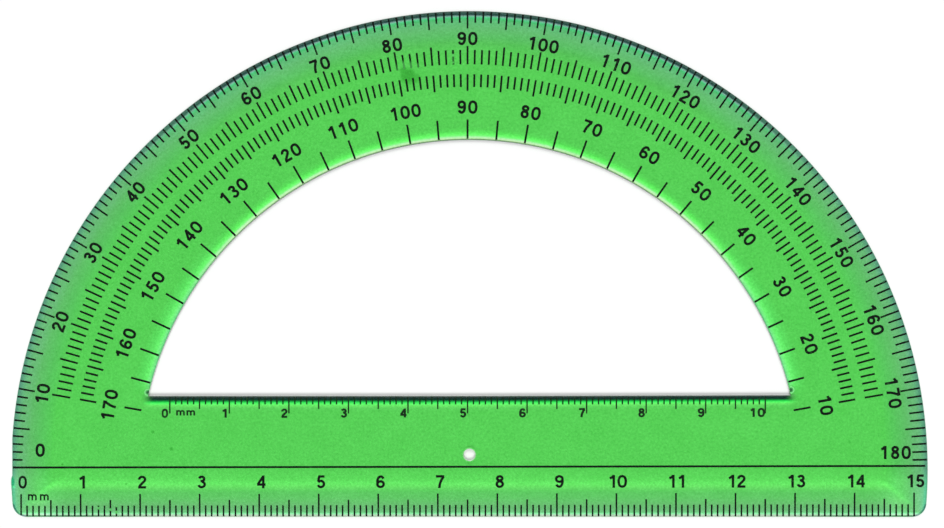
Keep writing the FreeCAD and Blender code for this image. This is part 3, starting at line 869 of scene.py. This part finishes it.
# %% Where a point is
def edge_places(group):
    """Places in millimetres: x, y and z, and the distances from the middle line, the arc's centre,
    the rim and the base. Height is the sine of the angle at the arc's centre."""
    x, y, z, _ = plate_place(group)
    radius = distance_to(group, x, y, 0.0, 0.0)
    return SimpleNamespace(
        x=x, y=y, z=z, radius=radius,
        side=calc(group, "ABSOLUTE", x),
        height=calc(group, "DIVIDE", y, calc(group, "MAXIMUM", radius, 1.0)),
        from_rim=calc(group, "SUBTRACT", RIM, radius),
        from_base=calc(group, "SUBTRACT", y, BASE),
    )


# Painted light and shade near the plate's edges, as factors on the flat's colour.
painted_edge_light, edge_end = new_group("painted_edge_light", [("Factor", "NodeSocketColor")])
at = edge_places(painted_edge_light)
print("places:", ", ".join(vars(at)))

# %% The two bevels: painted light and shade, and a painted highlight on the mitre
RIM_TURN = (0.62, 0.86)    # heights between which the rim's side ramp gives way to its top one
LOW_ENDS = (0.3, -2.6)     # y between which the ramp of the low ends comes in
# The painted highlight on the mitre's ridge, a factor on the bevels' colour.
RIDGE_HIGHLIGHT = (1.1, 1.12, 1.1)
RIDGE_FOOT, RIDGE_HEAD = (1.0, 3.0), (6.6, 5.2)    # the ridge's start and end, from the base


def outer_edges(group, at):
    """The painted light and shade of the bevel that a point is on, and a painted highlight on the
    mitre's ridge.

    The lead says which bevel: it is how many bevel widths nearer to the base than to the rim the
    point is, and so zero on the mitre.
    """
    rim_side, rim_top = ramp(group, at.from_rim, RIM_SIDE), ramp(group, at.from_rim, RIM_TOP)
    rim_factor = blend(group, ease(group, at.height, *RIM_TURN), rim_side, rim_top)
    rim_share = calc(group, "DIVIDE", at.from_rim, ARC_BEVEL)
    lead = calc(group, "SUBTRACT", rim_share, calc(group, "DIVIDE", at.from_base, BASE_BEVEL))
    base_factor = ramp(group, at.from_base, BASE_EDGE)
    factor = blend(group, ease(group, lead, -0.15, 0.15), rim_factor, base_factor)
    low = blend(group, ease(group, at.y, *LOW_ENDS), WHITE, ramp(group, at.from_rim, RIM_END))
    factor = tinted(group, factor, low)
    ridge = ease(group, calc(group, "ABSOLUTE", lead), 0.2, 0.0)
    foot, head = ease(group, at.from_base, *RIDGE_FOOT), ease(group, at.from_base, *RIDGE_HEAD)
    ridge = calc(group, "MULTIPLY", ridge, foot, head)
    return blend(group, ridge, factor, tinted(group, factor, RIDGE_HIGHLIGHT))


outside = outer_edges(painted_edge_light, at)
print("nodes for the bevels:", len(painted_edge_light.nodes))

# %% The painted dark line under the straight edge, and painted light and shade on the gate
# Painted shade: a thin dark line along the ends of the straight edge, bluer round the corners.
EDGE_LINE_SHADE, ROUND_LINE_SHADE = (0.16, 0.45, 0.25), (0.36, 0.42, 0.52)
LINE_ENDS = (50.0, 66.0)     # distances from the middle line between which it comes in
LINE_WIDTH = (0.42, 0.22)    # it fades out between these distances from the edge
# Painted light and shade on the gate's stub, and a painted glint on it.
STUB_X, STUB_Y, STUB_SQUASH, STUB_LIGHT_AND_SHADE = -76.75, -2.1, 0.4, (0.25, 0.66, 1.8)
GLINT_X, GLINT_Y, GLINT_HIGHLIGHT = -76.5, -2.95, (1.2, 1.3, 3.4)


def edge_line(group, at, factor):
    """A thin painted dark line, painted shade, on both flats along the ends of the straight edge and
    round the corners.

    On a corner, the distance from the edge is the corner's radius less the distance from its centre.
    """
    round_x, round_y = corner_centre()
    from_round = calc(group, "SUBTRACT", CORNER, distance_to(group, at.side, at.y, round_x, round_y))
    past_x = ease(group, at.side, round_x, round_x + 0.3)
    past_y = ease(group, at.y, round_y, round_y - 0.3)
    on_round = calc(group, "MULTIPLY", past_x, past_y)
    change = calc(group, "MULTIPLY", on_round, calc(group, "SUBTRACT", from_round, at.from_base))
    near = ease(group, calc(group, "ADD", at.from_base, change), *LINE_WIDTH)
    under = ease(group, at.z, 0.15, 0.05)
    over = ease(group, at.z, EDGE_THICK - 0.15, EDGE_THICK - 0.05)
    ends = ease(group, at.side, *LINE_ENDS)
    on_line = calc(group, "MULTIPLY", ends, calc(group, "ADD", under, over), near)
    tint = blend(group, on_round, EDGE_LINE_SHADE, ROUND_LINE_SHADE)
    return blend(group, on_line, factor, tinted(group, factor, tint))


def gate_spots(group, at, factor):
    """Painted light and shade on the gate's stub, a spot that is long along the rim, and a painted
    glint on it.
    """
    squashed = calc(group, "MULTIPLY", at.y, STUB_SQUASH)
    from_stub = distance_to(group, at.x, squashed, STUB_X, STUB_Y * STUB_SQUASH)
    factor = blend(group, ease(group, from_stub, 0.42, 0.18), factor, STUB_LIGHT_AND_SHADE)
    from_glint = distance_to(group, at.x, at.y, GLINT_X, GLINT_Y)
    return blend(group, ease(group, from_glint, 0.32, 0.1), factor, GLINT_HIGHLIGHT)


outside = gate_spots(painted_edge_light, at, edge_line(painted_edge_light, at, outside))
print("nodes with the line and the gate:", len(painted_edge_light.nodes))

# %% Painted light and shade inside the window: the glow by its arc, the bands under its sill, its corners' curls
ARC_START, SILL_START = WINDOW + 0.08, SILL - 0.07    # where the two walls' ramps begin
ARC_TURN = (0.5, 0.75)     # heights between which the arc's side ramp gives way to its top one
SILL_NARROWING = 0.003     # the sill's bands get this much narrower for each millimetre to the right
CURL_X, CURL_Y, CURL_LIFT = 54.0, 12.93, 0.42    # the curls' middle; the right one is higher


def window_arc(group, at):
    """The painted glow beside the window's arc."""
    from_arc = calc(group, "SUBTRACT", at.radius, ARC_START)
    arc_side, arc_top = ramp(group, from_arc, ARC_SIDE), ramp(group, from_arc, ARC_TOP)
    glow = blend(group, ease(group, at.height, *ARC_TURN), arc_side, arc_top)
    beside = calc(group, "MULTIPLY", ease(group, at.y, 12.7, 15.0), ease(group, from_arc, -0.4, -0.3))
    return blend(group, beside, WHITE, glow)


def window_sill(group, at):
    """The painted dark band and painted bright line under the sill, whose right half climbs."""
    right = calc(group, "MAXIMUM", at.x, 0.0)
    level = calc(group, "ADD", calc(group, "MULTIPLY", right, SILL_RISE), SILL_START)
    narrower = calc(group, "ADD", calc(group, "MULTIPLY", right, SILL_NARROWING), 1.0)
    from_sill = calc(group, "MULTIPLY", calc(group, "SUBTRACT", level, at.y), narrower)
    under, within = ease(group, from_sill, -0.3, -0.2), ease(group, at.side, 55.3, 53.0)
    under = calc(group, "MULTIPLY", under, within)
    return blend(group, under, WHITE, ramp(group, from_sill, SILL_EDGE))


def corner_curls(group, at, factor):
    """A small painted arc of light round painted shade in each lower corner of the window."""
    lift = calc(group, "MULTIPLY", calc(group, "GREATER_THAN", at.x, 0.0), CURL_LIFT)
    from_curl = distance_to(group, at.side, calc(group, "SUBTRACT", at.y, lift), CURL_X, CURL_Y)
    near, past = ease(group, from_curl, 0.8, 0.66), ease(group, at.side, 53.6, 53.95)
    curled = calc(group, "MULTIPLY", near, past)
    return blend(group, curled, factor, ramp(group, from_curl, CORNER_CURL))


# Painted light and shade inside the window, times the painted light and shade outside.
inside = tinted(painted_edge_light, window_arc(painted_edge_light, at), window_sill(painted_edge_light, at))
inside = corner_curls(painted_edge_light, at, inside)
painted_edge_light.links.new(tinted(painted_edge_light, outside, inside), edge_end.inputs["Factor"])
print("nodes in painted_edge_light:", len(painted_edge_light.nodes))

# %% [markdown]
# ## Spots, and the mottle of the moulding
#
# No moulding is quite even. The melt leaves a fine mottle that two layers of noise imitate, and years
# in a pencil case leave a few dull specks. The print has flaws of its own: flakes off the ruler's
# first marks, a smudge where the rings were printed thin. Such single flaws are spots: a centre, a
# radius and a strength. One helper turns a list of spots into a mask.

# %% Masks from lists of spots
SPECKS = [    # x, y, radius in mm, and strength
    (-50.1, 3.45, 0.42, 0.25), (-53.2, 6.3, 0.35, 0.18), (-68.4, 0.85, 0.22, 0.3),
    (-57.7, -2.45, 0.25, 0.22), (63.8, 4.6, 0.35, 0.12), (-10.3, 66.1, 1.7, 0.30),
    (-9.0, 65.7, 1.1, 0.22), (-11.0, 67.0, 0.9, 0.25),
]


def spot_mask(tree, x, y, spots):
    """The strongest of several soft round spots: each is full to 0.45 of its radius, then fades."""
    mask = 0.0
    for centre_x, centre_y, radius, strength in spots:
        away = distance_to(tree, x, y, centre_x, centre_y)
        spot = calc(tree, "MULTIPLY", ease(tree, away, radius, 0.45 * radius), strength)
        mask = calc(tree, "MAXIMUM", spot, mask)
    return mask


print("specks:", len(SPECKS))

# %% The mottle group
FINE_PER_MM, FINE_SHARE = 2.6, 0.45         # cells of noise to the millimetre, and how much they tell
COARSE_PER_MM, COARSE_SHARE = 0.22, 0.13


def noise(tree, place, per_mm, detail):
    """Noise with a given number of cells to the millimetre, about 0.5 on average."""
    node = tree.nodes.new("ShaderNodeTexNoise")
    tree.links.new(place, node.inputs["Vector"])
    node.inputs["Scale"].default_value = 1000.0 * per_mm
    node.inputs["Detail"].default_value = detail
    return node.outputs["Fac"]


def mottle_group():
    """A factor on the colour: fine and coarse noise about 1, darkened at the specks.

    Where there is more dye in the melt, red and blue fade twice as fast as green.
    """
    group, end = new_group("mottle", [("Factor", "NodeSocketColor")])
    x, y, _, place = plate_place(group)
    fine = calc(group, "SUBTRACT", noise(group, place, FINE_PER_MM, 1.0), 0.5)
    coarse = calc(group, "SUBTRACT", noise(group, place, COARSE_PER_MM, 2.0), 0.5)
    coarse = calc(group, "MULTIPLY", coarse, COARSE_SHARE)
    grain = calc(group, "ADD", calc(group, "MULTIPLY", fine, FINE_SHARE), coarse)
    dull = calc(group, "SUBTRACT", 1.0, spot_mask(group, x, y, SPECKS))
    level = calc(group, "MULTIPLY", calc(group, "ADD", grain, 1.0), dull)
    joined = group.nodes.new("ShaderNodeCombineColor")
    for socket, fading in zip(joined.inputs[:3], (2.0, 1.0, 2.0)):
        group.links.new(calc(group, "POWER", level, fading), socket)
    group.links.new(joined.outputs[0], end.inputs["Factor"])
    return group


mottle = mottle_group()
print("nodes in mottle:", len(mottle.nodes))

# %% [markdown]
# ## Clear green plastic
#
# The plastic is glass to the renderer: light passes through it, bent by the index of polystyrene.
# The tint is the colour of the plate over white paper, and it varies: a fine mottle from the
# moulding, and the painted light and shade of the factors above near the edges. Lamps would take long
# to find their way through two bent surfaces to the table, so for shadow rays the plastic is plainly
# see-through.

# %% Materials made of two shaders
def new_material(name):
    """An empty node material with its tree."""
    material = bpy.data.materials.new(name)
    material.use_nodes = True
    material.node_tree.nodes.clear()
    return material, material.node_tree


def show_mix(tree, share, first, second):
    """The surface is a mix of two shaders by the second one's share."""
    mix = tree.nodes.new("ShaderNodeMixShader")
    feed(tree, mix.inputs, (share, first, second))
    output = tree.nodes.new("ShaderNodeOutputMaterial")
    tree.links.new(mix.outputs["Shader"], output.inputs["Surface"])


print("material helpers ready")

# %% How a lamp shines through the plate
CLEAR_TINT = (0.97, 0.98, 0.97)
# Each wall's foot: heights in mm, and the share of the light that passes there.
SILL_FOOT = [(0.0, 0.0), (0.4, 0.02), (0.55, 0.2), (0.8, 0.55), (1.1, 1.0)]
ARC_FOOT = [(0.0, 0.0), (0.2, 0.0), (0.45, 0.5), (0.8, 1.0)]
OUTER_FOOT = [(0.0, 0.55), (0.2, 0.8), (0.45, 1.0)]


def lamp_tint(tree):
    """What a lamp's ray keeps: nearly all through a flat, little through the foot of a wall.

    The walls round the window keep more back than the outer ones, which the bevels feed with light.
    """
    x, y, z, _ = plate_place(tree)
    sill, arc, outer = (
        ramp(tree, z, [(height, (share, share, share)) for height, share in foot])
        for foot in (SILL_FOOT, ARC_FOOT, OUTER_FOOT)
    )
    at_rim = ease(tree, distance_to(tree, x, y, 0.0, 0.0), 62.0, 70.0)
    outside = calc(tree, "MAXIMUM", at_rim, ease(tree, y, -3.0, -6.0))
    wall = blend(tree, outside, blend(tree, ease(tree, y, 13.0, 16.0), sill, arc), outer)
    way = tree.nodes.new("ShaderNodeSeparateXYZ")
    tree.links.new(tree.nodes.new("ShaderNodeNewGeometry").outputs["True Normal"], way.inputs[0])
    flat = ease(tree, calc(tree, "ABSOLUTE", way.outputs["Z"]), 0.5, 0.9)
    return blend(tree, flat, wall, CLEAR_TINT)


print("the sill's wall keeps nothing back from", SILL_FOOT[-1][0], "mm up")

# %% The plastic's material
PLASTIC_TINT = (0.1055, 0.655, 0.103)


def placed_group(tree, group, output):
    """An output of a node group, placed in a material."""
    node = tree.nodes.new("ShaderNodeGroup")
    node.node_tree = group
    return node.outputs[output]


def green_plastic():
    """Tinted glass whose tint carries the painted light and shade near the edges; for shadow rays it is
    transparent.
    """
    material, tree = new_material("green_clear_plastic")
    surface = tree.nodes.new("ShaderNodeBsdfPrincipled")
    # The painted light and shade near the edges, then the moulding's mottle, as factors on the tint.
    tint = tinted(tree, PLASTIC_TINT, placed_group(tree, painted_edge_light, "Factor"))
    tint = tinted(tree, tint, placed_group(tree, mottle, "Factor"))
    tree.links.new(tint, surface.inputs["Base Color"])
    surface.inputs["Transmission Weight"].default_value = 1.0
    surface.inputs["IOR"].default_value = 1.5
    surface.inputs["Roughness"].default_value = 0.0
    clear = tree.nodes.new("ShaderNodeBsdfTransparent")
    tree.links.new(lamp_tint(tree), clear.inputs["Color"])
    path = tree.nodes.new("ShaderNodeLightPath")
    show_mix(tree, path.outputs["Is Shadow Ray"], surface.outputs["BSDF"], clear.outputs["BSDF"])
    print("plastic tint:", PLASTIC_TINT, "bends light by", surface.inputs["IOR"].default_value)
    return material


plate.data.materials.append(green_plastic())

# %% [markdown]
# ## Black ink
#
# Screen ink dries to a flat black with a breath of green, because the plastic under it shines
# through where it is thin. So its colour runs from black to the plastic's own green with a mask of
# wear: a little everywhere, from fine noise, and almost all of it at the flaws.

# %% Where the ink is thin
SPECKLE = 0.16       # the most that shows through in the speckle
RULER_WEAR = 0.03    # how much more shows through on the ruler along the sill
FLAWS = [    # x, y, radius in mm, and strength
    (-2.75, 69.55, 0.34, 0.95), (-2.75, 68.35, 0.26, 0.75), (-2.75, 69.0, 0.9, 0.25),
    (-11.1, 67.4, 1.5, 0.55), (-9.8, 67.5, 1.3, 0.45), (-8.6, 67.5, 1.0, 0.30),
    (-2.75, 67.7, 0.5, 0.3), (-62.25, -6.52, 0.30, 0.98), (-60.3, -6.75, 0.28, 0.98),
    (-59.3, -6.15, 0.26, 0.95), (-59.3, -7.2, 0.34, 0.98), (-59.0, -7.7, 0.25, 0.7),
    (-51.2, 8.4, 1.9, 0.09),
]


def ink_wear_group():
    """How far the plastic shows through the ink, from 0 to 1: the flaws, or else the speckle and a
    little more on the ruler along the sill."""
    group, end = new_group("ink_wear", [("Wear", "NodeSocketFloat")])
    x, y, _, place = plate_place(group)
    speckle = ease(group, noise(group, place, 1.7, 3.0), 0.55, 0.85)
    above, below = ease(group, y, 5.5, 6.5), ease(group, y, 13.0, 12.0)
    beside = ease(group, calc(group, "ABSOLUTE", x), 54.0, 53.0)
    more = calc(group, "MULTIPLY", above, below, beside, RULER_WEAR)
    thin = calc(group, "ADD", calc(group, "MULTIPLY", speckle, SPECKLE), more)
    wear = calc(group, "MAXIMUM", spot_mask(group, x, y, FLAWS), thin)
    group.links.new(wear, end.inputs["Wear"])
    return group


ink_wear = ink_wear_group()
print("nodes in ink_wear:", len(ink_wear.nodes))

# %% The ink's material
INK_BLACK, INK_THIN = (0.0075, 0.0105, 0.0085), (0.11, 0.56, 0.12)


def black_ink():
    """Flat black ink, worn by its group."""
    material, tree = new_material("black_ink")
    surface = tree.nodes.new("ShaderNodeBsdfPrincipled")
    colour = blend(tree, placed_group(tree, ink_wear, "Wear"), INK_BLACK, INK_THIN)
    tree.links.new(colour, surface.inputs["Base Color"])
    surface.inputs["Roughness"].default_value = 0.8
    surface.inputs["Specular IOR Level"].default_value = 0.1
    output = tree.nodes.new("ShaderNodeOutputMaterial")
    tree.links.new(surface.outputs["BSDF"], output.inputs["Surface"])
    return material


ink = black_ink()
marks = [bpy.data.objects[name] for name in (
    "base_line", "edge_degree_marks", "outer_degree_ring", "inner_degree_ring",
    "window_degree_marks", "base_ruler_marks", "window_ruler_marks",
)]
for piece in marks + numbers:
    piece.data.materials.clear()
    piece.data.materials.append(ink)
    piece.visible_shadow = False
print("pieces in ink:", len(marks + numbers))

# %% [markdown]
# ## The table, the light and the camera
#
# A clear plate shows what is under it, so the table matters as much as the plastic. It is a matt
# white sheet, a hair below the plate, and takes the plate's shadow and its green glow. Two large
# lamps, one behind and one in front, light the plate softly and leave both sides' walls their bands.
# They are hidden from mirror and see-through rays: a path that bends through the plate would find a
# lamp that the shadow rays have counted already. The room is white where it is seen, straight or
# through the plate, and lights next to nothing. A long lens from straight above sees the plate as a
# drawing does, with hardly any of its walls.

# %% The table
SHEET_HALF, SHEET_LEVEL = 600.0, -0.05
PAPER = (0.97, 0.97, 0.97)
SHEET_GLOW = 0.12    # the share of pure white where the sheet is seen


def white_floor():
    """A plain white sheet just under the plate."""
    corners = np.array([[-1, -1], [1, -1], [1, 1], [-1, 1]]) * SHEET_HALF
    floor = make_object("floor", np.column_stack([corners, np.full(4, SHEET_LEVEL)]), [[0, 1, 2, 3]])
    material, tree = new_material("white_table")
    paper, glow = tree.nodes.new("ShaderNodeBsdfDiffuse"), tree.nodes.new("ShaderNodeEmission")
    feed(tree, (paper.inputs["Color"], glow.inputs["Color"]), (PAPER, WHITE))
    share = calc(tree, "MULTIPLY", seen_directly(tree), SHEET_GLOW)
    show_mix(tree, share, paper.outputs["BSDF"], glow.outputs["Emission"])
    floor.data.materials.append(material)


white_floor()

# %% The light
ROOM_LIGHT = 0.12    # how brightly the room shines on the plate; it is white, 1, where it is seen


def soft_lamp(name, place, lean, size, energy):
    """A large square lamp, leaning about the x axis to point at the plate."""
    light = bpy.data.lights.new(name, "AREA")
    light.shape = "SQUARE"
    light.size = size
    light.energy = energy
    lamp = bpy.data.objects.new(name, light)
    lamp.location = place
    lamp.rotation_euler = (math.radians(lean), 0.0, 0.0)
    lamp.visible_transmission = False
    lamp.visible_glossy = False
    bpy.context.scene.collection.objects.link(lamp)
    print(f"{name}: {size} m wide, {energy} W")


def plain_world():
    """Faint even light from all round; seen directly or through the plate, the room is white."""
    world = bpy.data.worlds.new("studio")
    world.use_nodes = True
    tree, background = world.node_tree, world.node_tree.nodes["Background"]
    seen = calc(tree, "MULTIPLY", seen_directly(tree), 1.0 - ROOM_LIGHT)
    level = calc(tree, "ADD", seen, ROOM_LIGHT)
    feed(tree, (background.inputs["Color"], background.inputs["Strength"]), (WHITE, level))
    bpy.context.scene.world = world


soft_lamp("soft_key", (0.0, 0.72, 1.12), -31.5, 0.60, 8.3)
soft_lamp("soft_fill", (0.0, -0.62, 1.12), 30.3, 0.36, 11.0)
plain_world()
bpy.context.scene.view_settings.view_transform = "Standard"

# %% The camera
FRAME_WIDTH = 158.53             # width of the view, in mm on the plate
FRAME_X, FRAME_Y = 0.43, 34.5    # the point in its middle
LENS, SENSOR = 300.0, 36.0


def camera_above():
    """A long lens straight above: its distance is the frame's width times lens over sensor."""
    camera = bpy.data.cameras.new("camera")
    camera.lens = LENS
    camera.sensor_width = SENSOR
    camera.clip_end = 10.0
    distance = FRAME_WIDTH * LENS / SENSOR
    holder = bpy.data.objects.new("camera", camera)
    holder.location = (FRAME_X * MM, FRAME_Y * MM, (THICK + distance) * MM)
    bpy.context.scene.collection.objects.link(holder)
    bpy.context.scene.camera = holder
    print(f"camera {distance:.0f} mm above the plate")


camera_above()
